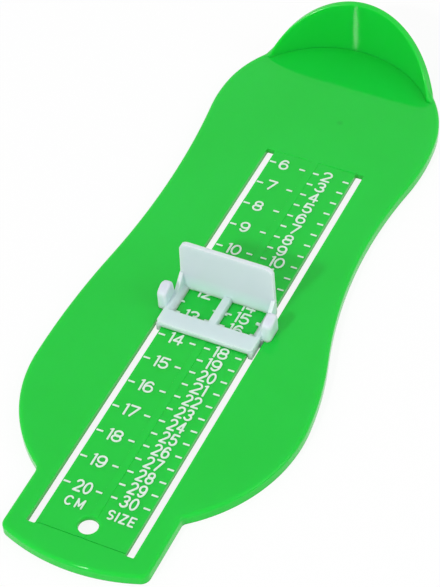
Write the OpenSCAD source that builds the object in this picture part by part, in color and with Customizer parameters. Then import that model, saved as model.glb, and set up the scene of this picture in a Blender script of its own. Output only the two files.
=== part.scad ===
// Foot measuring device: a foot shaped plate with a heel wall, a centimetre scale, a shoe size scale and a
// toe slider that snaps into two slots. The heel goes against the wall, the slider is pushed up to the
// longest toe, and both scales are read at the small pointers in the slider's windows.
//
// The drawing works from the zero of the scale: X = 0 is the line between the two scales, Y = 0 is the inner
// face of the heel wall, and Y falls towards the toes. "placed" then moves every piece so that Z = 0 is the
// underside of the plate and X = 0, Y = 0 is the middle of its outline. All lengths are in millimetres.

/* [Piece] */
// Piece to draw
// Foot length that the slider stands at, in centimetres
reading = 12.6; // [6:0.1:20.4]

/* [Plate] */
// Height of the plate's edge
plate_h = 3.8; // [3.5:0.1:4.6]
// Thickness of the top skin over the hollow underside
web_h = 2; // [1.8:0.1:2.2]
// Thickness of the skirt round the hollow underside
skirt_w = 2; // [1.6:0.1:2.4]
// Radius along the top edge of the plate
edge_r = 1; // [0.4:0.1:1.2]
// Width of the narrow end below the toes
tongue_w = 45.6; // [43:0.2:47]
// Radius of the arc that ends the narrow end
tongue_r = 59; // [50:1:80]
// Radius of the two corners beside that arc
tongue_corner_r = 3; // [2.2:0.1:5]
// Distance from the scale's zero to the narrow end
tongue_y = 225.1; // [221:0.1:226]
// Radius of the hanging hole
hole_r = 2.9; // [2:0.1:4.5]
// Distance from the scale's zero to the hanging hole
hole_y = 211.2; // [210:0.1:213]
// Width of the soft rim round the hanging hole
hole_rim = 0.9; // [0.2:0.1:1.2]

/* [Heel wall] */
// Thickness of the heel wall
wall_w = 2.4; // [2:0.1:3]
// Height of the heel wall over the plate
wall_h = 19; // [15:0.5:24]
// Radius of the arc over the top of the heel wall
arch_r = 33.6; // [32:0.2:36]
// Radius of the arcs that bring it down to the plate on both sides
arch_end_r = 27; // [24:0.5:30]
// Position of the arch's middle
arch_x = -6.3; // [-8:0.1:-4]

/* [Slots and panels] */
// Distance from the middle line to the inner edge of a slot
slot_in = 14; // [13.9:0.05:14.1]
// Distance from the middle line to the outer edge of a slot
slot_out = 16.7; // [16.65:0.05:17.2]
// Depth of the panels that hold the printed marks
panel_h = 0.2; // [0.1:0.05:0.3]
// Width of the raised line between the two panels
panel_gap = 2.5; // [2:0.1:2.6]

/* [Slider] */
// Height of the slider's toe wall over the plate
toe_h = 19; // [15:0.5:24]
// Thickness of the toe wall
toe_w = 1.5; // [1.2:0.1:2]
// Thickness of the slider's frame
frame_h = 1.75; // [1.4:0.05:2.4]
// Half of the width of the slider's frame
frame_x = 15.7; // [15.2:0.1:15.8]
// Length of the frame's front bar
bar_w = 6.5; // [5:0.1:7]
// Width of the bar between the two windows
rib_w = 2.7; // [2:0.1:3]
// Height of the finger tabs over the plate, at their front
tab_h = 6.35; // [5:0.05:9]
// Rise of a tab's top towards its back
tab_rise = 1.3; // [0:0.1:2]
// How far a hook reaches under the plate
hook_w = 1; // [0.6:0.1:1.2]

/* [Marks] */
// First and last figure of the centimetre scale
cm_marks = [6, 20]; // [6:1:20]
// First and last figure of the shoe size scale
size_marks = [2, 30]; // [2:1:30]
// Width of the pen that draws the figures
pen = 0.58; // [0.5:0.02:0.8]
// Height of the figures
figure_h = 4.35; // [3.8:0.05:4.6]
// Width of the tick marks
tick_w = 0.52; // [0.4:0.02:0.9]

/* [Hidden] */
// Clearance between the slider and the plate, over and under the top skin
gap = 0.15;
// Heel apex of the outline, and the arcs [radius, sweep] that follow it towards the toes. A negative radius
// is a hollow arc. The left side is the first list, the right side the second.
heel_x = -7;
left_arcs = [[36, 83.4], [54, 14.7], [-280, -15.2], [280, 8.9]];
right_arcs = [[39, 82.7], [80, 16.5], [-162, -26.9], [116, 12.6]];
// Straight pieces drawn for each of those arcs
arc_steps = [12, 3, 8, 4];
// Sweep of the arc over the top of the heel wall, to the left and to the right of its middle
arch_turn = [27, 39];
arch_steps = [5, 8];
// Arc over the widest place, and the hollow corner between it and the narrow end
left_shoulder_r = 47;
right_shoulder_r = 50;
left_neck_r = 4;
right_neck_r = 2;
shoulder_steps = 8;
neck_steps = 3;
corner_steps = 4;
end_steps = 3;
// Rounding of the top edge
edge_steps = 3;
// Slots, measured from the scale's zero
slot_y0 = 55;
slot_y1 = 216.5;
panel_y1 = 216;
// Slider lengths, measured from its pointers: the toe wall's front face and the frame's front edge
toe_y = 5.5;
bar_y = toe_y - 10.6 - bar_w;
window_x = frame_x - 2.25;
corner_r = 1.5;
guide_y1 = 4.6;
guide_x = [slot_in + 0.35, frame_x];
leg_x = [slot_in + 0.3, slot_out - 0.3];
leg_y = [-5.2, 1.8];
hook_h = 1.1;
gusset_w = 1.2;
gusset_h = 6.6;
wall_x = 15.6;
wall_lean = 1.4;
wall_corner_r = 2.4;
tab_x = [15.4, 18.6];
tab_y = [-5, 2];
tab_slope = 7;
tab_r = 1.8;
tab_front_r = 0.7;
tab_lean = 2.5;
bridge_h = 1.1;
pointer_w = 0.6;
pointer_l = [1.1, 1.8];
// Marks
cm_step = 10;
tick_x = [-12.53, -2.39, 2.35, 12.54];
tick_l = [2.1, 1.9, 1.9, 2];
wide = 3.2;
narrow = 2.5;
slim = 1.2;
figure_gap = 0.32;
figure_x = [-10.2, -10, 4.55];
label_h = 3.4;
label_pen = 0.5;
label_y = -207.4;
$fn = 64;

// ---- Outline of the plate. A half runs from the heel apex to the tip, with u counted away from the apex.
function dir(h) = [sin(h), cos(h)];
function arc_end(p, h, a) = p + a[0] * (dir(h + a[1]) - dir(h));
function arc_starts(p, h, arcs, i = 0) =
    i == len(arcs) ? [[p, h]]
    : concat([[p, h]], arc_starts(arc_end(p, h, arcs[i]), h + arcs[i][1], arcs, i + 1));
function arc_points(c, r, h0, h1, n, last = 0) =
    [for (i = [0:n - 1 + last]) c + r * dir(h0 + (h1 - h0) * i / n)];

// Heel and waist of one half, moved inwards by d
function upper_half(arcs, d) =
    let (st = arc_starts([0, wall_w], 0, arcs))
    [for (i = [0:len(arcs) - 1])
        each arc_points(st[i][0] - arcs[i][0] * dir(st[i][1]), arcs[i][0] - d,
            st[i][1], st[i][1] + arcs[i][1], arc_steps[i])];

// Shoulder and neck of one half. u_side is where the side of the narrow end lies.
function lower_half(arcs, shoulder_r, neck_r, u_side, d) =
    let (
        st = arc_starts([0, wall_w], 0, arcs),
        end = st[len(arcs)],
        sc = end[0] - shoulder_r * dir(end[1]),
        nu = u_side + neck_r,
        nc = [nu, sc[1] - sqrt(pow(shoulder_r + neck_r, 2) - pow(nu - sc[0], 2))],
        h = atan2(nc[0] - sc[0], nc[1] - sc[1])
    )
    concat(
        arc_points(sc, shoulder_r - d, end[1], h, shoulder_steps),
        arc_points(nc, -neck_r - d, h, 90, neck_steps, 1)
    );

// Corner and end arc of the narrow end, for the half on the side of +X
function tip_half(d) =
    let (
        cx = tongue_w / 2 - tongue_corner_r,
        ey = tongue_r - tongue_y,
        cy = ey - sqrt(pow(tongue_r - tongue_corner_r, 2) - cx * cx),
        h = 180 - asin(cx / (tongue_r - tongue_corner_r))
    )
    concat(
        arc_points([cx, cy], tongue_corner_r - d, 90, h, corner_steps),
        arc_points([0, ey], tongue_r - d, h, 180, end_steps, 1)
    );

// One half in the drawing's own axes; s is -1 for the left side and 1 for the right side
function side_points(points, s) = [for (p = points) [heel_x + s * p[0], p[1]]];
function half(s, d) =
    let (
        arcs = s < 0 ? left_arcs : right_arcs,
        sr = s < 0 ? left_shoulder_r : right_shoulder_r,
        nr = s < 0 ? left_neck_r : right_neck_r
    )
    concat(
        side_points(concat(upper_half(arcs, d), lower_half(arcs, sr, nr, tongue_w / 2 - s * heel_x, d)), s),
        [for (p = tip_half(d)) [s * p[0], p[1]]]
    );
function backwards(list) = [for (i = [len(list) - 1:-1:0]) list[i]];
function inner(list) = [for (i = [1:len(list) - 2]) list[i]];
function outline(d) = concat(half(1, d), backwards(inner(half(-1, d))));

// Middle of the outline, which becomes X = 0, Y = 0
outline_x = [for (p = outline(0)) p[0]];
mid_x = (min(outline_x) + max(outline_x)) / 2;
mid_y = (wall_w - tongue_y) / 2;

module placed() {
    translate([-mid_x, -mid_y, 0]) children();
}

module mirrored() {
    children();
    mirror([1, 0, 0]) children();
}

// ---- Plate with its heel wall, one moulding
// Solid plate with a rounded top edge: rings of the outline stacked up, closed by strips across the plate
module plate_body() {
    n = len(half(1, 0)) - 1;
    m = 2 * n;
    levels = concat(
        [[0, 0]],
        [for (i = [0:edge_steps])
            let (a = 90 * i / edge_steps)
            [edge_r * (1 - cos(a)), plate_h - edge_r + edge_r * sin(a)]]
    );
    last = len(levels) - 1;
    points = [for (l = levels) each [for (p = outline(l[0])) [p[0], p[1], l[1]]]];
    sides = [for (k = [0:last - 1])
        each [for (j = [0:m - 1]) [k * m + j, k * m + (j + 1) % m, (k + 1) * m + (j + 1) % m, (k + 1) * m + j]]];
    strips = concat(
        [[0, 1, m - 1]],
        [for (i = [1:n - 2]) [i, i + 1, m - i - 1, m - i]],
        [[n - 1, n, n + 1]]
    );
    top = [for (f = strips) [for (i = f) last * m + i]];
    bottom = [for (f = strips) backwards(f)];
    polyhedron(points = points, faces = concat(bottom, sides, top), convexity = 10);
}

// One side of the heel wall's arch, seen from the toes, from its middle down past the plate
function arch_side(turn) =
    let (
        c = [0, wall_h - arch_r],
        e = c + (arch_r - arch_end_r) * dir(turn)
    )
    concat(arc_points(c, arch_r, 0, turn, arch_steps[0]), arc_points(e, arch_end_r, turn, 100, arch_steps[1], 1));

module heel_wall() {
    n = arc_steps[0] - 1;
    right = [for (i = [0:n]) half(1, 0)[i]];
    left = [for (i = [1:n]) half(-1, 0)[i]];
    right_in = [for (i = [0:n]) half(1, wall_w)[i]];
    left_in = [for (i = [1:n]) half(-1, wall_w)[i]];
    low = plate_h - 1.5;
    arch_left = [for (p = backwards(arch_side(arch_turn[0]))) [-p[0], p[1]]];
    arch_right = arch_side(arch_turn[1]);
    intersection() {
        translate([0, 0, low])
            linear_extrude(height = wall_h + 3)
                polygon(concat(backwards(left), right, backwards(right_in), left_in));
        translate([arch_x, 20, plate_h])
            rotate([90, 0, 0])
                linear_extrude(height = 90)
                    polygon(concat(arch_left, [for (i = [1:len(arch_right) - 1]) arch_right[i]]));
    }
}

module base() {
    over = 1;
    color([0.03, 0.57, 0.07])
    placed()
    difference() {
        union() {
            plate_body();
            heel_wall();
        }
        translate([0, 0, -over])
            linear_extrude(height = plate_h - web_h + over)
                polygon(outline(skirt_w));
        mirrored()
            translate([slot_in, -slot_y1, 0])
                cube([slot_out - slot_in, slot_y1 - slot_y0, plate_h + over]);
        mirrored()
            translate([panel_gap / 2, -panel_y1, plate_h - panel_h])
                cube([slot_in - panel_gap / 2 + over, panel_y1 - slot_y0, panel_h + over]);
        translate([0, -hole_y, 0])
            cylinder(r = hole_r, h = plate_h + over);
        translate([0, -hole_y, plate_h - hole_rim])
            cylinder(r1 = hole_r, r2 = hole_r + hole_rim + over, h = hole_rim + over);
    }
}

// ---- Toe slider, one moulding. It is drawn with its pointers on Y = 0 and the top of the plate on Z = 0.
module slider_frame() {
    corner = [for (a = [0:15:90]) [frame_x - corner_r + corner_r * sin(a), bar_y + corner_r - corner_r * cos(a)]];
    left = [for (p = backwards(corner)) [-p[0], p[1]]];
    outside = concat([[-frame_x, toe_y + toe_w]], left, corner, [[frame_x, toe_y + toe_w]]);
    translate([0, 0, gap])
        difference() {
            linear_extrude(height = frame_h) polygon(outside);
            mirrored()
                translate([rib_w / 2, bar_y + bar_w, -1])
                    cube([window_x - rib_w / 2, toe_y - bar_y - bar_w, frame_h + 2]);
        }
}

module toe_wall() {
    top = toe_h - wall_corner_r;
    x1 = wall_x - (top - gap) * tan(wall_lean);
    side = concat(
        [[wall_x, gap]],
        [for (a = [0:15:90]) [x1 - wall_corner_r + wall_corner_r * cos(a), top + wall_corner_r * sin(a)]]
    );
    translate([0, toe_y + toe_w, 0])
        rotate([90, 0, 0])
            linear_extrude(height = toe_w)
                polygon(concat(side, [for (p = backwards(side)) [-p[0], p[1]]]));
}

// A flat piece in the Y-Z plane, from x to x + w
module across(x, w) {
    translate([x, 0, 0])
        rotate([90, 0, 90])
            linear_extrude(height = w) children();
}

module gusset() {
    low = gap + frame_h / 2;
    reach = gusset_h - gap - frame_h;
    across(frame_x - gusset_w, gusset_w)
        polygon([[toe_y + toe_w / 2, low], [toe_y + toe_w / 2, gusset_h], [toe_y, gusset_h],
            [toe_y - reach, gap + frame_h], [toe_y - reach, low]]);
}

// Side view of a finger tab: its back leans forwards and rounds over into the top, which falls to the front
function tab_outline() =
    let (
        low = tab_h - gap,
        high = low + tab_rise,
        f = [tab_y[0] + 0.3 + tab_front_r, low],
        k = [tab_y[1] - high * tan(tab_slope), high],
        rise = atan2(k[1] - f[1], k[0] - f[0]),
        turn = 90 - rise + tab_slope,
        inwards = unit([sin(tab_slope) - cos(rise), -cos(tab_slope) - sin(rise)]),
        c = k + tab_r / sin(turn / 2) * inwards
    )
    concat(
        [[tab_y[0], 0], [tab_y[1], 0]],
        [for (i = [0:5]) let (a = tab_slope + (90 + rise - tab_slope) * i / 5) c + tab_r * [cos(a), sin(a)]],
        [f, [tab_y[0] + 0.3, low - tab_front_r]]
    );

module finger_tab() {
    translate([tab_x[0], 0, gap])
        rotate([0, tab_lean, 0])
            across(0, tab_x[1] - tab_x[0])
                polygon(tab_outline());
    translate([frame_x - 0.6, tab_y[0], gap])
        cube([tab_x[0] - frame_x + 1, tab_y[1] - tab_y[0], bridge_h]);
}

// Guide rib that keeps the slider straight in a slot, and the leg with the hook that holds it down
module guide_and_hook() {
    hook_top = -web_h - gap;
    translate([guide_x[0], bar_y, -web_h])
        cube([guide_x[1] - guide_x[0], guide_y1 - bar_y, web_h + gap + frame_h / 2]);
    translate([leg_x[0], leg_y[0], hook_top - hook_h])
        cube([leg_x[1] - leg_x[0], leg_y[1] - leg_y[0], hook_h - hook_top + gap + bridge_h / 2]);
    translate([0, leg_y[1], 0])
        rotate([90, 0, 0])
            linear_extrude(height = leg_y[1] - leg_y[0])
                polygon([[leg_x[1] - 0.5, hook_top], [slot_out + hook_w, hook_top],
                    [slot_out + hook_w, hook_top - hook_h / 2], [leg_x[1], hook_top - hook_h],
                    [leg_x[1] - 0.5, hook_top - hook_h]]);
}

// Pointer of length l that grows out of a window's edge
module pointer(x, l) {
    translate([x, 0, gap])
        linear_extrude(height = 0.5)
            polygon([[-0.4, -pointer_w / 2], [l - 0.2, -pointer_w / 2 + 0.1], [l, 0],
                [l - 0.2, pointer_w / 2 - 0.1], [-0.4, pointer_w / 2]]);
}

module slider() {
    color([0.78, 0.88, 0.87])
    placed()
    translate([0, -cm_step * reading, plate_h])
    union() {
        slider_frame();
        toe_wall();
        mirrored() gusset();
        mirrored() finger_tab();
        mirrored() guide_and_hook();
        mirrored() pointer(rib_w / 2, pointer_l[0]);
        mirrored() mirror([1, 0, 0]) pointer(-window_x, pointer_l[1]);
    }
}

// ---- Figures drawn with a round pen. A stroke is a list of points; its outline is worked out here.
function unit(v) = v / norm(v);
function left_of(v) = [-v[1], v[0]];
function turned(v, a) = [v[0] * cos(a) - v[1] * sin(a), v[0] * sin(a) + v[1] * cos(a)];

// Corner at b on side s of the stroke, 1 for left and -1 for right: the outside of a sharp turn is rounded
function corner_at(a, b, c, s, r) =
    let (
        n0 = left_of(unit(b - a)),
        n1 = left_of(unit(c - b)),
        turn = atan2(cross(n0, n1), n0 * n1)
    )
    s * turn < 0 && abs(turn) > 40
        ? [for (k = [0:3]) b + s * r * turned(n0, turn * k / 3)]
        : [b + s * r * (n0 + n1) / (1 + n0 * n1)];
function stroke_side(p, s, r) = [for (i = [1:1:len(p) - 2]) each corner_at(p[i - 1], p[i], p[i + 1], s, r)];
function round_end(b, v, r) = [for (a = [90, 40, 0, -40, -90]) b + r * turned(v, a)];
function stroke_outline(p, r) =
    let (n = len(p) - 1)
    concat(
        stroke_side(p, 1, r),
        round_end(p[n], unit(p[n] - p[n - 1]), r),
        backwards(stroke_side(p, -1, r)),
        round_end(p[0], unit(p[0] - p[1]), r)
    );
function bow(c, rx, ry, a0, a1, n) =
    [for (i = [0:n]) let (a = a0 + (a1 - a0) * i / n) [c[0] + rx * cos(a), c[1] + ry * sin(a)]];

module stroke(points, w) {
    polygon(stroke_outline(points, w / 2));
}

// Closed oval of n sides round the centre c
module ring(c, rx, ry, n, w) {
    outside = [for (i = [0:n - 1]) [c[0] + (rx + w / 2) * cos(360 * i / n), c[1] + (ry + w / 2) * sin(360 * i / n)]];
    inside = [for (i = [0:n - 1]) [c[0] + (rx - w / 2) * cos(360 * i / n), c[1] + (ry - w / 2) * sin(360 * i / n)]];
    polygon(points = concat(outside, inside), paths = [[for (i = [0:n - 1]) i], [for (i = [0:n - 1]) n + i]]);
}

// One figure inside a cell of w by figure_h, its lower left corner on the origin
module figure(f, w) {
    x = w - pen;
    y = figure_h - pen;
    translate([pen / 2, pen / 2]) {
        if (f == 0) ring([x / 2, y / 2], x / 2, y / 2, 20, pen);
        if (f == 1) {
            r = pen / 2;
            c = 0.7 * r;
            polygon([[x - c, -r], [x + c, -r], [x + r, -c], [x + r, y + c], [x + c, y + r], [x - 0.3 * r, y + r],
                [-c, y - 0.6 * r], [-r, y - 1.2 * r], [-0.3 * r, y - 1.6 * r], [x - r, y - 1.2 * r], [x - r, -c]]);
        }
        if (f == 2) {
            r = y * 0.29;
            stroke(concat(bow([x / 2, y - r], x / 2, r, 160, -25, 8), [[0.04, 0], [x, 0]]), pen);
        }
        if (f == 3) {
            stroke(bow([x * 0.48, y * 0.75], x * 0.46, y * 0.25, 155, -90, 9), pen);
            stroke(bow([x * 0.48, y * 0.26], x * 0.52, y * 0.26, 90, -155, 10), pen);
        }
        if (f == 4) {
            stroke([[x * 0.7, y], [0, y * 0.28], [x, y * 0.28]], pen);
            stroke([[x * 0.7, y], [x * 0.7, 0]], pen);
        }
        if (f == 5) {
            stroke(concat([[x * 0.94, y], [x * 0.14, y], [x * 0.04, y * 0.52]],
                bow([x * 0.5, y * 0.31], x * 0.5, y * 0.31, 110, -150, 10)), pen);
        }
        if (f == 6) {
            ring([x / 2, y * 0.31], x / 2, y * 0.31, 16, pen);
            stroke(bow([x / 2, y / 2], x / 2, y / 2, 215, 48, 9), pen);
        }
        if (f == 7) stroke([[0, y], [x, y], [x * 0.36, 0]], pen);
        if (f == 8) {
            ring([x / 2, y * 0.745], x * 0.44, y * 0.255, 16, pen);
            ring([x / 2, y * 0.28], x / 2, y * 0.28, 16, pen);
        }
        if (f == 9) {
            ring([x / 2, y * 0.69], x / 2, y * 0.31, 16, pen);
            stroke(bow([x / 2, y / 2], x / 2, y / 2, 35, -132, 9), pen);
        }
    }
}

// A number from 0 to 99, centred on Y = 0. A 1 gets a slim cell and leaves its neighbour a wide one.
module number(n) {
    tens = floor(n / 10);
    ones = n % 10;
    w_tens = tens == 1 ? slim : ones == 1 ? wide : narrow;
    w_ones = ones == 1 ? slim : tens == 0 || tens == 1 ? wide : narrow;
    translate([0, -figure_h / 2]) {
        if (tens > 0) figure(tens, w_tens);
        translate([tens > 0 ? w_tens + figure_gap : 0, 0]) figure(ones, w_ones);
    }
}

module printed() {
    placed()
    translate([0, 0, plate_h - panel_h])
    linear_extrude(height = panel_h) children();
}

module tick(x, y, l) {
    translate([x - l / 2, y - tick_w / 2]) square([l, tick_w]);
}

function size_y(n) = -cm_step * (n / 2 + 5);

module cm_ticks() {
    color([0.9, 1, 0.93])
    printed()
    for (n = [cm_marks[0]:cm_marks[1]]) {
        tick(tick_x[0], -cm_step * n, tick_l[0]);
        tick(tick_x[1], -cm_step * n, tick_l[1]);
    }
}

module size_ticks() {
    color([0.9, 1, 0.93])
    printed()
    for (n = [size_marks[0]:size_marks[1]]) {
        tick(tick_x[2], size_y(n), tick_l[2]);
        tick(tick_x[3], size_y(n), tick_l[3]);
    }
}

module cm_figures() {
    color([0.9, 1, 0.93])
    printed()
    for (n = [cm_marks[0]:cm_marks[1]])
        translate([n < 10 ? figure_x[0] : figure_x[1], -cm_step * n]) number(n);
}

module size_figures() {
    color([0.9, 1, 0.93])
    printed()
    for (n = [size_marks[0]:size_marks[1]])
        translate([figure_x[2], size_y(n)]) number(n);
}

// The words under the two columns: the unit on the left, and a plain word for the other scale
module letter_c(x, y) {
    stroke(bow([x / 2, y / 2], x / 2, y / 2, 48, 312, 12), label_pen);
}

module letter_m(x, y) {
    stroke([[0, 0], [0, y]], label_pen);
    stroke([[0, y], [x / 2, y * 0.2], [x, y]], label_pen);
    stroke([[x, y], [x, 0]], label_pen);
}

module letter_s(x, y) {
    stroke(concat(bow([x / 2, y * 0.75], x / 2, y * 0.25, 30, 270, 8),
        inner(bow([x / 2, y * 0.25], x / 2, y * 0.25, 90, -150, 8))), label_pen);
}

module letter_z(x, y) {
    stroke([[0, y], [x, y], [0, 0], [x, 0]], label_pen);
}

module letter_e(x, y) {
    stroke([[x, y], [0, y], [0, 0], [x, 0]], label_pen);
    stroke([[0, y / 2], [x * 0.85, y / 2]], label_pen);
}

module column_labels() {
    y = label_h - label_pen;
    color([0.9, 1, 0.93])
    printed()
    translate([label_pen / 2, label_y + label_pen / 2]) {
        translate([-10.15, 0]) letter_c(2.1, y);
        translate([-6.7, 0]) letter_m(2, y);
        translate([3.25, 0]) letter_s(1.6, y);
        translate([6, 0]) stroke([[0, 0], [0, y]], label_pen);
        translate([7.15, 0]) letter_z(1.6, y);
        translate([9.9, 0]) letter_e(1.4, y);
    }
}

base();
slider();
cm_ticks();
cm_figures();
size_ticks();
size_figures();
column_labels();
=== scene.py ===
import math

import bmesh
import bpy
from mathutils import Matrix, Vector


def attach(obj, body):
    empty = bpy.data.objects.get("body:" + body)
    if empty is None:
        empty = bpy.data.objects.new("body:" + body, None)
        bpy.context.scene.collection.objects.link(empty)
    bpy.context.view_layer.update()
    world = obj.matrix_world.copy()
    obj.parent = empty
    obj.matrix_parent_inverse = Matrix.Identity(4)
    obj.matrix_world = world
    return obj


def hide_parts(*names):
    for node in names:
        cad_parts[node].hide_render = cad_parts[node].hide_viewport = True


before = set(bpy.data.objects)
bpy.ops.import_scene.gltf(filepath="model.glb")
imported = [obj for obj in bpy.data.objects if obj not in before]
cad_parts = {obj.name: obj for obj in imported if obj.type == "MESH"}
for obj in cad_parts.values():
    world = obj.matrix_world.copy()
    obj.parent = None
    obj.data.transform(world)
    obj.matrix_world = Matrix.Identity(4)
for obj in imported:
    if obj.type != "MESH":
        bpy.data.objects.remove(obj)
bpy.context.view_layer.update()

# ---------------------------------------------------------------- named values, in millimetres as in part.scad
MM = 0.001
MID_X, MID_Y = -0.9918, -111.35
PLATE_H, WEB_H, SKIRT_W, EDGE_R = 3.8, 2.0, 2.0, 1.0

# Outline: the arcs of each half from the heel down, as radius and sweep, then its shoulder and neck radius
HEEL_X = -7.0
SIDE_ARCS = {-1: [(36, 83.4), (54, 14.7), (-280, -15.2), (280, 8.9)],
             1: [(39, 82.7), (80, 16.5), (-162, -26.9), (116, 12.6)]}
NECKS = {-1: (47.0, 4.0), 1: (50.0, 2.0)}
ARC_STEPS = [60, 12, 24, 12]
SHOULDER_STEPS, NECK_STEPS, CORNER_STEPS, TIP_STEPS = 32, 10, 10, 12
TONGUE_W, TONGUE_R, TONGUE_CORNER_R, TONGUE_Y = 45.6, 59.0, 3.0, 225.1
TONGUE_SIDE_Y = (-204, -208, -212)

# Heel wall: FOOT and THIN are what its drafted inner face adds at the foot and takes off at the rim
WALL_W, WALL_H, WALL_END_Y = 2.4, 19.0, -40
WALL_FOOT, WALL_THIN = 0.55, 0.2
ARCH_R, ARCH_END_R, ARCH_X, ARCH_TURN = 33.6, 27.0, -6.3, (27.0, 39.0)
RIM_R, LEAST_WALL, WALL_POINTS = 0.5, 0.8, 20
CREASE_W, CREASE_H, CREASE_LIP = 0.16, 0.12, 0.02
CREASE_FLAT_W, PLAIN_FLAT_W = (0.3, 0.7), 0.6
# The gate mark's place, radius and tint: the tint is painted shade standing in for the shallow sink mark there
GATE_MARK, GATE_SHADE_R, GATE_SHADE_TINT = (0.07, -35.3), 1.7, (0.9, 0.86, 0.9, 1)

# Underside: radius where the skin meets the skirt, radius of the lower edge, and the skirt's inner lip
ROOT_R, LOW_R = 0.5, 0.35
SKIRT_LIP = [(0.0, 0.25), (0.1, 0.07), (0.3, 0.0)]

# Slots, panels and hole: EDGES are the edge radii under the skin and on top
SLOT_IN, SLOT_OUT, SLOT_Y0, SLOT_Y1 = 14.0, 16.7, 55.0, 216.5
SLOT_R, SLOT_EDGES = 0.35, (0.05, 0.12)
PANEL_H, PANEL_GAP, PANEL_Y1 = 0.2, 2.5, 216.0
PANEL_FOOT_W, PANEL_FOOT_OVER = 0.24, 0.1
PANEL_R, PANEL_OVER, PANEL_BACK = 0.4, 1.0, 0.1
PANEL_LEVELS = [(-0.02, -PANEL_H), (0.1, 0.03), (0.4, 0.6)]
HOLE_R, HOLE_Y, HOLE_EDGES, HOLE_STEPS = 2.9, 211.2, (0.25, 0.9), 64
FLARE_TURNS, FLARE_LIP, FLARE_OUT = (0, 20, 40, 60, 76), (0.25, 0.07), (1.2, 0.6)

# Slider: SLOPES are how far the windows' walls lean at the rib, the sides and the front bar
READING = 12.6
GAP = 0.15
TOE_X, TOE_Y, TOE_W, TOE_H, TOE_LEAN, TOE_CORNER_R = 15.6, 5.5, 1.5, 19.0, 1.4, 2.4
FRAME_H, FRAME_X, FRAME_CORNER_R, BAR_W, RIB_W = 1.75, 15.7, 1.5, 6.5, 2.7
FRAME_UNDER_TOE = 1.0
BAR_Y = TOE_Y - 10.6 - BAR_W
WINDOW_X = FRAME_X - 2.25
RIB_SLOPE, SIDE_SLOPE, SIDE_EXTRA, FRONT_SLOPE = 0.23, 0.7, 0.4, 0.7
GUSSET_W, GUSSET_H, GUSSET_ROOT, GUSSET_LOW = 1.2, 6.6, 0.7, 1.0
POINTER_W, POINTER_L = 0.6, (1.1, 1.8)
POINTER_ROOT, POINTER_TIP, POINTER_TAPER, POINTER_Z = 0.4, 0.25, 0.1, (0.02, 0.5)
SLIDER_EDGE_R, SLIDER_EDGE_STEPS, SLIDER_EDGE_ANGLE = 0.28, 3, 32
# The slider's tint low down and the heights over which it fades out: painted green light from the plate
GREEN_LIGHT_TINT, GREEN_LIGHT_Z = (0.99, 1.14, 1.05, 1), (6.2, 10.5)
SHARP_ANGLE = 40

# Finger tabs: ROUND are the radii of the upright corners towards the frame and away from it
TAB_X, TAB_Y, TAB_H, TAB_RISE = (15.4, 18.6), (-5.0, 2.0), 6.35, 1.3
TAB_SLOPE, TAB_R, TAB_FRONT_R, TAB_LEAN = 7.0, 1.8, 1.5, 2.5
TAB_ROUND, TAB_FACE, TAB_MIDDLE = (0.9, 1.2), 0.3, 0.5
TAB_TOP_FALL, TAB_STRAIGHT_H, TAB_TOP_H = 0.75, 4.0, 3.5
TAB_REAR_STEPS, TAB_FRONT_STEPS, TAB_ROUND_STEPS = 8, 6, 6

# Under the slider
BRIDGE_X, BRIDGE_INSET, BRIDGE_Z = (FRAME_X - 0.6, FRAME_X + 1.2), 0.05, (GAP + 0.03, GAP + 1.1)
GUIDE_X, GUIDE_Y, GUIDE_TOP = (SLOT_IN + 0.35, FRAME_X - 0.03), (BAR_Y + 0.2, 4.6), GAP + 0.8
LEG_X, LEG_Y, LEG_TOP = (SLOT_IN + 0.3, SLOT_OUT - 0.3), (-5.2, 1.8), GAP + 0.55
HOOK_W, HOOK_H, HOOK_ROOT, HOOK_LIFT, HOOK_INSET = 1.0, 1.1, 0.5, 0.02, 0.03


def placed(x, y, z):
    """A point of the drawing in the part's frame, in metres."""
    return Vector(((x - MID_X) * MM, (y - MID_Y) * MM, z * MM))


# ---------------------------------------------------------------- mesh helpers
def mesh_object(name, verts, faces):
    mesh = bpy.data.meshes.new(name)
    mesh.from_pydata(verts, [], faces)
    mesh.validate()
    obj = bpy.data.objects.new(name, mesh)
    bpy.context.scene.collection.objects.link(obj)
    return obj


def outward(obj):
    bm = bmesh.new()
    bm.from_mesh(obj.data)
    bmesh.ops.recalc_face_normals(bm, faces=bm.faces[:])
    bm.to_mesh(obj.data)
    bm.free()


def loft(name, rings):
    """A closed solid through rings of the same number of points, capped at both ends."""
    n = len(rings[0])
    verts = [v for ring in rings for v in ring]
    faces = []
    for k in range(len(rings) - 1):
        for j in range(n):
            i = (j + 1) % n
            faces.append((k * n + j, k * n + i, (k + 1) * n + i, (k + 1) * n + j))
    faces.append(tuple(range(n - 1, -1, -1)))
    faces.append(tuple((len(rings) - 1) * n + j for j in range(n)))
    obj = mesh_object(name, verts, faces)
    outward(obj)
    return obj


def apply_modifiers(obj):
    graph = bpy.context.evaluated_depsgraph_get()
    mesh = bpy.data.meshes.new_from_object(obj.evaluated_get(graph), depsgraph=graph)
    old = obj.data
    obj.modifiers.clear()
    obj.data = mesh
    bpy.data.meshes.remove(old)


def combine(obj, others, operation):
    for other in others:
        mod = obj.modifiers.new("combine", "BOOLEAN")
        mod.object = other
        mod.operation = operation
        mod.solver = "EXACT"
        apply_modifiers(obj)
        bpy.data.objects.remove(other)


def bevel(obj, width, segments, angle):
    mod = obj.modifiers.new("bevel", "BEVEL")
    mod.width = width * MM
    mod.segments = segments
    mod.limit_method = "ANGLE"
    mod.angle_limit = math.radians(angle)
    mod.use_clamp_overlap = True
    mod.miter_outer = "MITER_ARC"
    apply_modifiers(obj)


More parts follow.
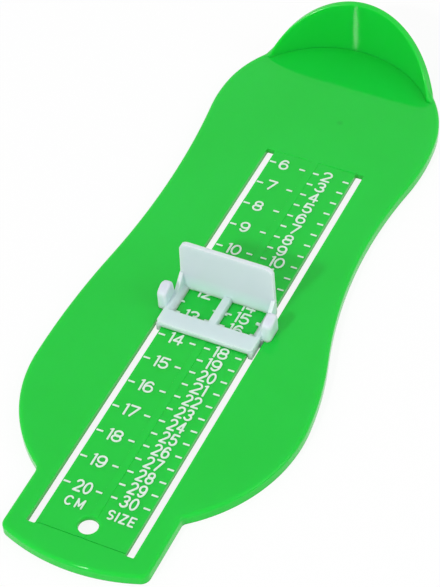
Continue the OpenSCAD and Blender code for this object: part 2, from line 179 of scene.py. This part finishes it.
def weighted_shading(obj, angle):
    """Smooth shading that keeps flat faces flat; edges sharper than the angle stay sharp."""
    for poly in obj.data.polygons:
        poly.use_smooth = True
    obj.data.set_sharp_from_angle(angle=math.radians(angle))
    mod = obj.modifiers.new("normals", "WEIGHTED_NORMAL")
    mod.keep_sharp = True
    mod.weight = 100
    apply_modifiers(obj)


def quarter(steps):
    return [math.radians(90 * i / steps) for i in range(steps + 1)]


# ---------------------------------------------------------------- outline of the plate
def direction(h):
    return Vector((math.sin(math.radians(h)), math.cos(math.radians(h))))


def arc(centre, radius, h0, h1, steps, last=False):
    """Points on an arc, each with the outward normal of the outline; a negative radius is a hollow arc."""
    out = []
    for i in range(steps + (1 if last else 0)):
        n = direction(h0 + (h1 - h0) * i / steps)
        out.append((centre + radius * n, n))
    return out


def half_outline(s):
    """The right half for s = 1, the left one for -1, from the heel to the tip of the narrow end."""
    shoulder_r, neck_r = NECKS[s]
    p, h, out = Vector((0, WALL_W)), 0.0, []
    for (radius, sweep), steps in zip(SIDE_ARCS[s], ARC_STEPS):
        centre = p - radius * direction(h)
        out += arc(centre, radius, h, h + sweep, steps)
        h += sweep
        p = centre + radius * direction(h)
    sc = p - shoulder_r * direction(h)
    nu = TONGUE_W / 2 - s * HEEL_X + neck_r
    nc = Vector((nu, sc.y - math.sqrt((shoulder_r + neck_r) ** 2 - (nu - sc.x) ** 2)))
    hn = math.degrees(math.atan2(nc.x - sc.x, nc.y - sc.y))
    out += arc(sc, shoulder_r, h, hn, SHOULDER_STEPS)
    out += arc(nc, -neck_r, hn, 90, NECK_STEPS, last=True)
    out = [(Vector((HEEL_X + s * q.x, q.y)), Vector((s * n.x, n.y))) for q, n in out]
    cx = TONGUE_W / 2 - TONGUE_CORNER_R
    ey = TONGUE_R - TONGUE_Y
    cy = ey - math.sqrt((TONGUE_R - TONGUE_CORNER_R) ** 2 - cx * cx)
    ht = 180 - math.degrees(math.asin(cx / (TONGUE_R - TONGUE_CORNER_R)))
    tip = [(Vector((TONGUE_W / 2, y)), Vector((1, 0))) for y in TONGUE_SIDE_Y]
    tip += arc(Vector((cx, cy)), TONGUE_CORNER_R, 90, ht, CORNER_STEPS)
    tip += arc(Vector((0, ey)), TONGUE_R, ht, 180, TIP_STEPS, last=True)
    return out + [(Vector((s * q.x, q.y)), Vector((s * n.x, n.y))) for q, n in tip]


def whole_outline():
    left = half_outline(-1)
    return half_outline(1) + left[-2:0:-1]


# ---------------------------------------------------------------- plate and heel wall in one sweep
def arch_over_plate(x):
    """Height of the arch over the plate at x, or 0 beside it."""
    u = abs(x - ARCH_X)
    turn = math.radians(ARCH_TURN[0] if x < ARCH_X else ARCH_TURN[1])
    if u <= ARCH_R * math.sin(turn):
        return WALL_H - ARCH_R + math.sqrt(ARCH_R ** 2 - u ** 2)
    cu = (ARCH_R - ARCH_END_R) * math.sin(turn)
    cz = WALL_H - ARCH_R + (ARCH_R - ARCH_END_R) * math.cos(turn)
    inside = ARCH_END_R ** 2 - (u - cu) ** 2
    return max(0.0, cz + math.sqrt(inside)) if inside > 0 else 0.0


def plain_profile():
    """Inset and height over the plate, from below the rounded edge to the flat top."""
    out = [(0.0, -EDGE_R), (0.0, -EDGE_R)]
    out += [(EDGE_R * (1 - math.cos(a)), EDGE_R * (math.sin(a) - 1)) for a in quarter(6)[1:]]
    steps = WALL_POINTS - len(out)
    out += [(EDGE_R + PLAIN_FLAT_W * (i + 1) / steps, 0.0) for i in range(steps)]
    return out


def wall_profile(h_out, h_in):
    """The same number of points up the outside of the heel wall, over its rim and down to the plate."""
    foot = WALL_W + WALL_FOOT
    inner = foot - (WALL_FOOT + WALL_THIN) * (h_in - RIM_R) / WALL_H
    flat = foot + CREASE_W
    out = [(0.0, -EDGE_R), (0.0, (h_out - RIM_R - EDGE_R) / 2)]
    out += [(RIM_R * (1 - math.cos(a)), h_out - RIM_R + RIM_R * math.sin(a)) for a in quarter(4)]
    out += [(WALL_W / 2, (h_out + h_in) / 2)]
    out += [(inner - RIM_R * (1 - math.cos(a)), h_in - RIM_R + RIM_R * math.sin(a)) for a in quarter(4)[::-1]]
    out += [((foot + inner) / 2, (h_in - RIM_R) / 2), (foot, 0.1)]
    out += [(foot, -CREASE_H), (foot + CREASE_W / 2, -CREASE_H), (flat, -CREASE_LIP)]
    out += [(flat + d, 0.0) for d in CREASE_FLAT_W]
    return out


def base_rings():
    """The profile goes round the outline. Where the heel wall runs out, it fades into the plain edge."""
    skin = PLATE_H - WEB_H
    under = [(SKIRT_W + ROOT_R * (1 - math.cos(a)), skin - ROOT_R * (1 - math.sin(a))) for a in quarter(4)[::-1]]
    under += [(SKIRT_W - d, z) for d, z in SKIRT_LIP] + [(LOW_R, 0.0)]
    under += [(LOW_R * (1 - math.sin(a)), LOW_R * (1 - math.cos(a))) for a in quarter(3)[1:]]
    plain = plain_profile()
    columns = []
    for p, n in whole_outline():
        h_out, h_in = (arch_over_plate(p.x - d * n.x) if p.y > WALL_END_Y else 0.0 for d in (0.0, WALL_W))
        column = list(under)
        walled = wall_profile(max(h_out, LEAST_WALL), max(h_in, LEAST_WALL))
        for (d0, z0), (d1, z1) in zip(plain, walled):
            h = h_out + (h_in - h_out) * min(1.0, d1 / WALL_W)
            w = min(1.0, h / LEAST_WALL)
            column.append((d0 + (d1 - d0) * w, PLATE_H + z0 + (z1 - z0) * w))
        columns.append([placed(p.x - d * n.x, p.y - d * n.y, z) for d, z in column])
    return [[c[k] for c in columns] for k in range(len(columns[0]))]


# ---------------------------------------------------------------- slots, panels and hole
def rounded_rect(x0, x1, y0, y1, r, grow, steps=5):
    out = []
    corners = ((x1 - r, y1 - r, 0), (x0 + r, y1 - r, 90), (x0 + r, y0 + r, 180), (x1 - r, y0 + r, 270))
    for cx, cy, start in corners:
        for i in range(steps + 1):
            a = math.radians(start + 90 * i / steps)
            out.append((cx + (r + grow) * math.cos(a), cy + (r + grow) * math.sin(a)))
    return out


def flare(r):
    """Growth and drop of a rounded edge of radius r, from its straight wall up to just past the face."""
    out = [(r * (1 - math.cos(a)), r * (math.sin(a) - 1)) for a in [math.radians(d) for d in FLARE_TURNS]]
    out.append((out[-1][0] + FLARE_LIP[0] * r, out[-1][1] + FLARE_LIP[1] * r))
    out.append((out[-1][0] + FLARE_OUT[0], FLARE_OUT[1]))
    return out


def through_levels(edges):
    """Growth and height of a cutter through the skin, from below it to above it."""
    low = [(g, PLATE_H - WEB_H - z) for g, z in reversed(flare(edges[0]))]
    return low + [(g, PLATE_H + z) for g, z in flare(edges[1])]


def rect_cutter(name, x, y, r, levels):
    x0, x1 = sorted(x)
    return loft(name, [[placed(px, py, z) for px, py in rounded_rect(x0, x1, *y, r, g)] for g, z in levels])


def slot_cutter(s):
    return rect_cutter("slot", (s * SLOT_IN, s * SLOT_OUT), (-SLOT_Y1, -SLOT_Y0), SLOT_R, through_levels(SLOT_EDGES))


def panel_cutter(s):
    levels = [(g, PLATE_H + z) for g, z in PANEL_LEVELS]
    x = (s * PANEL_GAP / 2, s * (SLOT_IN + PANEL_OVER))
    return rect_cutter("panel", x, (-PANEL_Y1, -SLOT_Y0 - PANEL_BACK), PANEL_R, levels)


def panel_end_cutter():
    """The sharp foot of the step where the panels end, which shows as a thin dark line across the plate."""
    x, y = SLOT_IN + PANEL_FOOT_OVER, -PANEL_Y1
    corners = [(-x, y), (x, y), (x, y + PANEL_FOOT_W), (-x, y + PANEL_FOOT_W)]
    levels = (PLATE_H - PANEL_H - PANEL_FOOT_W, PLATE_H + PANEL_FOOT_OVER)
    return loft("panel_end", [[placed(px, py, z) for px, py in corners] for z in levels])


def hole_cutter():
    rings = []
    for g, z in through_levels(HOLE_EDGES):
        r = HOLE_R + g
        circle = [math.radians(360 * i / HOLE_STEPS) for i in range(HOLE_STEPS)]
        rings.append([placed(r * math.cos(a), -HOLE_Y + r * math.sin(a), z) for a in circle])
    return loft("hole", rings)


def make_base():
    obj = loft("plate_moulding", base_rings())
    cutters = [panel_cutter(1), panel_cutter(-1), panel_end_cutter(), slot_cutter(1), slot_cutter(-1), hole_cutter()]
    combine(obj, cutters, "DIFFERENCE")
    weighted_shading(obj, SHARP_ANGLE)
    return obj


# ---------------------------------------------------------------- toe slider
def slider_point(x, y, z):
    """A point of the slider's own drawing, whose zero is the reading line on the plate's top."""
    return placed(x, y - 10 * READING, z + PLATE_H)


def prism(name, outline, a, b, axis):
    """A solid with the given outline, from a to b along x, y or z."""
    rings = []
    for v in (a, b):
        points = [{"x": (v, p, q), "y": (p, v, q), "z": (p, q, v)}[axis] for p, q in outline]
        rings.append([slider_point(*point) for point in points])
    return loft(name, rings)


def block(name, s, x, y, z):
    """A box on the right for s = 1, or its mirror image."""
    x0, x1 = sorted((s * x[0], s * x[1]))
    return prism(name, [(x0, y[0]), (x1, y[0]), (x1, y[1]), (x0, y[1])], z[0], z[1], "z")


def flipped(s, points):
    return points if s > 0 else [(-x, y) for x, y in reversed(points)]


def window_cutter(s):
    """A window's walls slope: it is wider at the top than over the marks."""
    low = (RIB_W / 2 + RIB_SLOPE, WINDOW_X - SIDE_SLOPE, BAR_Y + BAR_W)
    high = (RIB_W / 2 - RIB_SLOPE, WINDOW_X + SIDE_SLOPE + SIDE_EXTRA, BAR_Y + BAR_W - FRONT_SLOPE)
    rings = []
    for (x0, x1, y), z in ((low, GAP - 1), (low, GAP), (high, GAP + FRAME_H), (high, GAP + FRAME_H + 1)):
        x0, x1 = sorted((s * x0, s * x1))
        rings.append([slider_point(*p, z) for p in ((x0, y), (x1, y), (x1, TOE_Y), (x0, TOE_Y))])
    return loft("window", rings)


def frame_piece():
    r, back = FRAME_CORNER_R, TOE_Y + FRAME_UNDER_TOE
    corner = [(FRAME_X - r + r * math.sin(a), BAR_Y + r - r * math.cos(a)) for a in quarter(8)]
    outline = [(-x, y) for x, y in reversed(corner)] + corner + [(FRAME_X, back), (-FRAME_X, back)]
    obj = prism("slider_moulding", outline, GAP, GAP + FRAME_H, "z")
    combine(obj, [window_cutter(-1), window_cutter(1)], "DIFFERENCE")
    return obj


def toe_piece():
    r, top = TOE_CORNER_R, TOE_H - TOE_CORNER_R
    x1 = TOE_X - (top - GAP) * math.tan(math.radians(TOE_LEAN))
    side = [(TOE_X, GAP)] + [(x1 - r + r * math.cos(a), top + r * math.sin(a)) for a in quarter(10)]
    return prism("toe", side + [(-x, z) for x, z in reversed(side)], TOE_Y, TOE_Y + TOE_W, "y")


def gusset_piece(s):
    top = GAP + FRAME_H
    root, front = TOE_Y + GUSSET_ROOT, TOE_Y - (GUSSET_H - top)
    outline = [(root, GUSSET_LOW), (root, GUSSET_H), (TOE_Y, GUSSET_H), (front, top), (front, GUSSET_LOW)]
    x0, x1 = sorted((s * (FRAME_X - GUSSET_W), s * FRAME_X))
    return prism("gusset", outline, x0, x1, "x")


def tab_profile():
    """A tab's side view: a leaning back, a rounded rear corner, a top that falls to the front and a soft front."""
    low = TAB_H - GAP
    high = low + TAB_RISE
    face = TAB_Y[0] + TAB_FACE
    slope = math.radians(TAB_SLOPE)
    corner = (TAB_Y[1] - high * math.tan(slope), high)
    rise = math.atan2(corner[1] - low, corner[0] - face)
    turn = math.pi / 2 - rise + slope
    way = Vector((math.sin(slope) - math.cos(rise), -math.cos(slope) - math.sin(rise))).normalized()
    centre = Vector(corner) + TAB_R / math.sin(turn / 2) * way
    outline = [(TAB_Y[0], 0.0), (TAB_Y[1], 0.0)]
    for i in range(TAB_REAR_STEPS + 1):
        a = slope + (math.pi / 2 + rise - slope) * i / TAB_REAR_STEPS
        outline.append((centre.x + TAB_R * math.cos(a), centre.y + TAB_R * math.sin(a)))
    for i in range(TAB_FRONT_STEPS + 1):
        t = i / TAB_FRONT_STEPS
        back, down = TAB_FRONT_R * (1 - t) ** 2, TAB_FRONT_R * t * t
        outline.append((face + back, low - down + back * math.tan(rise)))
    return outline


def tab_piece(s):
    """The side view, given width, with soft upright corners: the ends of the outline draw in towards both faces."""
    outline = tab_profile()
    middle = sum(p[0] for p in outline) / len(outline)
    w = TAB_X[1] - TAB_X[0]
    lean = math.radians(TAB_LEAN)
    near, far = ([(r * (1 - math.cos(a)), r * (1 - math.sin(a))) for a in quarter(TAB_ROUND_STEPS)]
                 for r in TAB_ROUND)
    rings = []
    for x, d in near + [(w - x, d) for x, d in reversed(far)]:
        ring = []
        for y, z in outline:
            k = max(0.0, 1.0 - d / max(TAB_MIDDLE, abs(y - middle)))
            z -= TAB_TOP_FALL * d * max(0.0, (z - TAB_STRAIGHT_H) / TAB_TOP_H)
            out = TAB_X[0] + x * math.cos(lean) + z * math.sin(lean)
            up = GAP - x * math.sin(lean) + z * math.cos(lean)
            ring.append(slider_point(s * out, middle + (y - middle) * k, up))
        rings.append(ring)
    return loft("tab", rings)


def under_pieces(s):
    """The strip that joins a tab to the frame, the guide rib, the leg and its hook."""
    top = -WEB_H - GAP
    low = top - HOOK_H
    bridge_y = (TAB_Y[0] + BRIDGE_INSET, TAB_Y[1] - BRIDGE_INSET)
    root, tip = LEG_X[1] - HOOK_ROOT, SLOT_OUT + HOOK_W
    hook = [(root, top), (tip, top), (tip, top - HOOK_H / 2), (LEG_X[1], low + HOOK_LIFT), (root, low + HOOK_LIFT)]
    return [
        block("bridge", s, BRIDGE_X, bridge_y, BRIDGE_Z),
        block("guide", s, GUIDE_X, GUIDE_Y, (-WEB_H, GUIDE_TOP)),
        block("leg", s, LEG_X, LEG_Y, (low, LEG_TOP)),
        prism("hook", flipped(s, hook), LEG_Y[0] + HOOK_INSET, LEG_Y[1] - HOOK_INSET, "y"),
    ]


def pointer_piece(s, x, length, way):
    """A pointer whose root is on a window's edge at x; way is the direction that it grows in."""
    w, neck = POINTER_W / 2, length - POINTER_TIP
    shape = [(-POINTER_ROOT, -w), (neck, -w + POINTER_TAPER), (length, 0.0), (neck, w - POINTER_TAPER),
             (-POINTER_ROOT, w)]
    points = [(s * (x + way * px), py) for px, py in shape]
    return prism("pointer", points, GAP + POINTER_Z[0], GAP + POINTER_Z[1], "z")


def make_slider():
    obj = frame_piece()
    parts = [toe_piece()]
    for s in (-1, 1):
        parts += [gusset_piece(s), tab_piece(s)] + under_pieces(s)
    combine(obj, parts, "UNION")
    bevel(obj, SLIDER_EDGE_R, SLIDER_EDGE_STEPS, SLIDER_EDGE_ANGLE)
    tips = [pointer_piece(s, x, length, way) for s in (-1, 1) for x, length, way in
            ((RIB_W / 2, POINTER_L[0], 1), (WINDOW_X, POINTER_L[1], -1))]
    combine(obj, tips, "UNION")
    weighted_shading(obj, SHARP_ANGLE)
    return obj


# ---------------------------------------------------------------- materials
def new_material(name):
    mat = bpy.data.materials.new(name)
    mat.use_nodes = True
    return mat, mat.node_tree.nodes, mat.node_tree.links, mat.node_tree.nodes["Principled BSDF"]


def dress(obj, mat):
    obj.data.materials.clear()
    obj.data.materials.append(mat)


def grey(v):
    return (v, v, v, 1.0)


def ramp(nodes, links, source, low, high, a, b):
    """Colour a where the source is at low and b where it is at high."""
    node = nodes.new("ShaderNodeValToRGB")
    node.color_ramp.elements[0].position = low
    node.color_ramp.elements[0].color = a
    node.color_ramp.elements[1].position = high
    node.color_ramp.elements[1].color = b
    links.new(source, node.inputs["Fac"])
    return node.outputs["Color"]


def noise(nodes, links, scale, detail, rough=0.5):
    coord = nodes.new("ShaderNodeTexCoord")
    node = nodes.new("ShaderNodeTexNoise")
    node.inputs["Scale"].default_value = scale
    node.inputs["Detail"].default_value = detail
    node.inputs["Roughness"].default_value = rough
    links.new(coord.outputs["Object"], node.inputs["Vector"])
    return node.outputs["Fac"]


def scratches(nodes, links, across, scale):
    """Fine lines left by wiping and by the slider: noise stretched along Y."""
    coord = nodes.new("ShaderNodeTexCoord")
    stretch = nodes.new("ShaderNodeMapping")
    stretch.inputs["Scale"].default_value = (across, 1.0, across)
    stretch.inputs["Rotation"].default_value = (0.0, 0.0, 0.06)
    links.new(coord.outputs["Object"], stretch.inputs["Vector"])
    node = nodes.new("ShaderNodeTexNoise")
    node.inputs["Scale"].default_value = scale
    node.inputs["Detail"].default_value = 3.0
    links.new(stretch.outputs["Vector"], node.inputs["Vector"])
    return node.outputs["Fac"]


def bumps(nodes, links, source, strength, distance, shader):
    bump = nodes.new("ShaderNodeBump")
    bump.inputs["Strength"].default_value = strength
    bump.inputs["Distance"].default_value = distance
    links.new(source, bump.inputs["Height"])
    links.new(bump.outputs["Normal"], shader.inputs["Normal"])


def faded(nodes, links, source, low, high, kind="LINEAR"):
    """1 where the source is at low or under it, falling to 0 at high."""
    fade = nodes.new("ShaderNodeMapRange")
    fade.interpolation_type = kind
    fade.inputs["From Min"].default_value = low
    fade.inputs["From Max"].default_value = high
    fade.inputs["To Min"].default_value = 1.0
    fade.inputs["To Max"].default_value = 0.0
    links.new(source, fade.inputs["Value"])
    return fade.outputs["Result"]


def tinted(nodes, links, colour, factor, tint):
    """Multiplies a colour by a tint, as far as the factor says."""
    mix = nodes.new("ShaderNodeMix")
    mix.data_type = "RGBA"
    mix.blend_type = "MULTIPLY"
    links.new(factor, mix.inputs["Factor"])
    links.new(colour, mix.inputs[6])
    mix.inputs[7].default_value = tint
    return mix.outputs[2]


def painted_gate_shade(nodes, links, colour):
    """Painted shade: a darker spot in front of the heel wall where the moulding was filled, standing in for the
    shading of its shallow sink mark.
    """
    coord = nodes.new("ShaderNodeTexCoord")
    away = nodes.new("ShaderNodeVectorMath")
    away.operation = "DISTANCE"
    away.inputs[1].default_value = placed(*GATE_MARK, PLATE_H)
    links.new(coord.outputs["Object"], away.inputs[0])
    near = faded(nodes, links, away.outputs["Value"], 0.0, GATE_SHADE_R * MM, "SMOOTHSTEP")
    return tinted(nodes, links, colour, near, GATE_SHADE_TINT)


def painted_green_light(nodes, links, colour):
    """Painted light: the white plastic is made greener close to the green plate, standing in for the green light
    that the plate bounces onto it and sends through it.
    """
    coord = nodes.new("ShaderNodeTexCoord")
    split = nodes.new("ShaderNodeSeparateXYZ")
    links.new(coord.outputs["Object"], split.inputs[0])
    below = faded(nodes, links, split.outputs["Z"], *(z * MM for z in GREEN_LIGHT_Z))
    return tinted(nodes, links, colour, below, GREEN_LIGHT_TINT)


def plastic(name, colours, painted_light_tint, roughs, specular, scatter, radius):
    mat, nodes, links, shader = new_material(name)
    colour = ramp(nodes, links, noise(nodes, links, 28.0, 3.0), 0.35, 0.65, *colours)
    # This step paints light into the colour: shade at the gate on the plate, green plate light low on the slider
    links.new(painted_light_tint(nodes, links, colour), shader.inputs["Base Color"])
    rough = ramp(nodes, links, scratches(nodes, links, 60.0, 22.0), 0.4, 0.72, *(grey(v) for v in roughs))
    links.new(rough, shader.inputs["Roughness"])
    bumps(nodes, links, noise(nodes, links, 260.0, 2.0), 0.1, 0.00004, shader)
    shader.inputs["IOR"].default_value = 1.49
    shader.inputs["Specular IOR Level"].default_value = specular
    shader.inputs["Subsurface Weight"].default_value = scatter
    shader.inputs["Subsurface Radius"].default_value = radius
    shader.inputs["Subsurface Scale"].default_value = 1.0
    return mat


def foil():
    mat, nodes, links, shader = new_material("print_foil")
    colours = (0.62, 0.80, 0.66, 1), (0.74, 0.86, 0.77, 1)
    colour = ramp(nodes, links, noise(nodes, links, 900.0, 4.0, 0.6), 0.3, 0.6, *colours)
    links.new(colour, shader.inputs["Base Color"])
    grain = noise(nodes, links, 2600.0, 3.0)
    links.new(ramp(nodes, links, grain, 0.3, 0.7, grey(0.34), grey(0.52)), shader.inputs["Roughness"])
    bumps(nodes, links, grain, 0.3, 0.00005, shader)
    return mat


plate_mat = plastic("plate_plastic", ((0.008, 0.565, 0.044, 1), (0.009, 0.585, 0.049, 1)), painted_gate_shade,
                    (0.08, 0.11), 0.23, 0.6, (0.0006, 0.0040, 0.0010))
slider_mat = plastic("slider_plastic", ((0.635, 0.665, 0.745, 1), (0.655, 0.685, 0.765, 1)), painted_green_light,
                     (0.36, 0.38), 0.35, 1.0, (0.0030, 0.0032, 0.0032))
foil_mat = foil()

# ---------------------------------------------------------------- camera, taken from the photograph's own scale
CAMERA_PLACE = (0.211826, -0.406496, 0.489523)
CAMERA_RIGHT = (0.90302, 0.42696, -0.04759)
CAMERA_UP = (-0.28355, 0.67556, 0.6806)
CAMERA_BACK = (0.32274, -0.6011, 0.7311)
LENS = 135.23

camera_data = bpy.data.cameras.new("camera")
camera_data.sensor_width = 36.0
camera_data.lens = LENS
camera_data.clip_start, camera_data.clip_end = 0.01, 20.0
camera = bpy.data.objects.new("camera", camera_data)
bpy.context.scene.collection.objects.link(camera)
axes = Matrix((CAMERA_RIGHT, CAMERA_UP, CAMERA_BACK)).transposed()
camera.matrix_world = Matrix.Translation(CAMERA_PLACE) @ axes.to_4x4()
bpy.context.scene.camera = camera

# ---------------------------------------------------------------- the object
plate = make_base()
dress(plate, plate_mat)
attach(plate, "plate")
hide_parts("base")

slider = make_slider()
dress(slider, slider_mat)
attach(slider, "slider")
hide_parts("slider")

for name in ("cm_ticks", "cm_figures", "size_ticks", "size_figures", "column_labels"):
    dress(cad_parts[name], foil_mat)

# ---------------------------------------------------------------- floor and light
FLOOR_SIZE, FLOOR_WHITE, FLOOR_SHARE = 3.0, 0.93, 0.9
WORLD_LEVEL = 0.74
LAMPS = [("key", (-0.50, -1.77, 1.42), 0.17, 18.0), ("soft", (1.2, 0.1, 0.75), 0.9, 3.5)]


def joined(nodes, links, a, b, operation):
    node = nodes.new("ShaderNodeMath")
    node.operation = operation
    for socket, value in zip(node.inputs, (a, b)):
        if isinstance(value, float):
            socket.default_value = value
        else:
            links.new(value, socket)
    return node.outputs[0]


def white_for_camera(nodes, links, shader_socket, share):
    """Mixes plain white into what the camera, and gloss and glass, see of a surface."""
    path = nodes.new("ShaderNodeLightPath").outputs
    seen = joined(nodes, links, path["Is Camera Ray"], path["Is Glossy Ray"], "MAXIMUM")
    seen = joined(nodes, links, seen, path["Is Transmission Ray"], "MAXIMUM")
    part = joined(nodes, links, seen, share, "MULTIPLY")
    white = nodes.new("ShaderNodeEmission")
    white.inputs["Strength"].default_value = 1.0
    mix = nodes.new("ShaderNodeMixShader")
    links.new(part, mix.inputs["Fac"])
    links.new(shader_socket, mix.inputs[1])
    links.new(white.outputs[0], mix.inputs[2])
    return mix.outputs[0]


def make_floor(size):
    corners = [(-size, -size, 0), (size, -size, 0), (size, size, 0), (-size, size, 0)]
    obj = mesh_object("floor", corners, [(0, 1, 2, 3)])
    mat, nodes, links, shader = new_material("floor_white")
    shader.inputs["Base Color"].default_value = grey(FLOOR_WHITE)
    shader.inputs["Roughness"].default_value = 0.9
    surface = white_for_camera(nodes, links, shader.outputs[0], FLOOR_SHARE)
    links.new(surface, nodes["Material Output"].inputs["Surface"])
    dress(obj, mat)


def make_world(level):
    world = bpy.data.worlds.new("studio")
    bpy.context.scene.world = world
    world.use_nodes = True
    nodes, links = world.node_tree.nodes, world.node_tree.links
    soft = nodes["Background"]
    soft.inputs["Color"].default_value = grey(1.0)
    soft.inputs["Strength"].default_value = level
    surface = white_for_camera(nodes, links, soft.outputs[0], 1.0)
    links.new(surface, nodes["World Output"].inputs["Surface"])


def make_lamp(name, place, size, watts):
    """A square lamp that looks at the middle of the plate."""
    data = bpy.data.lights.new(name, "AREA")
    data.shape = "SQUARE"
    data.size = size
    data.energy = watts
    lamp = bpy.data.objects.new(name, data)
    lamp.location = place
    lamp.rotation_euler = (-Vector(place)).to_track_quat("-Z", "Y").to_euler()
    bpy.context.scene.collection.objects.link(lamp)


make_floor(FLOOR_SIZE)
make_world(WORLD_LEVEL)
for lamp in LAMPS:
    make_lamp(*lamp)
bpy.context.scene.view_settings.view_transform = "Standard"
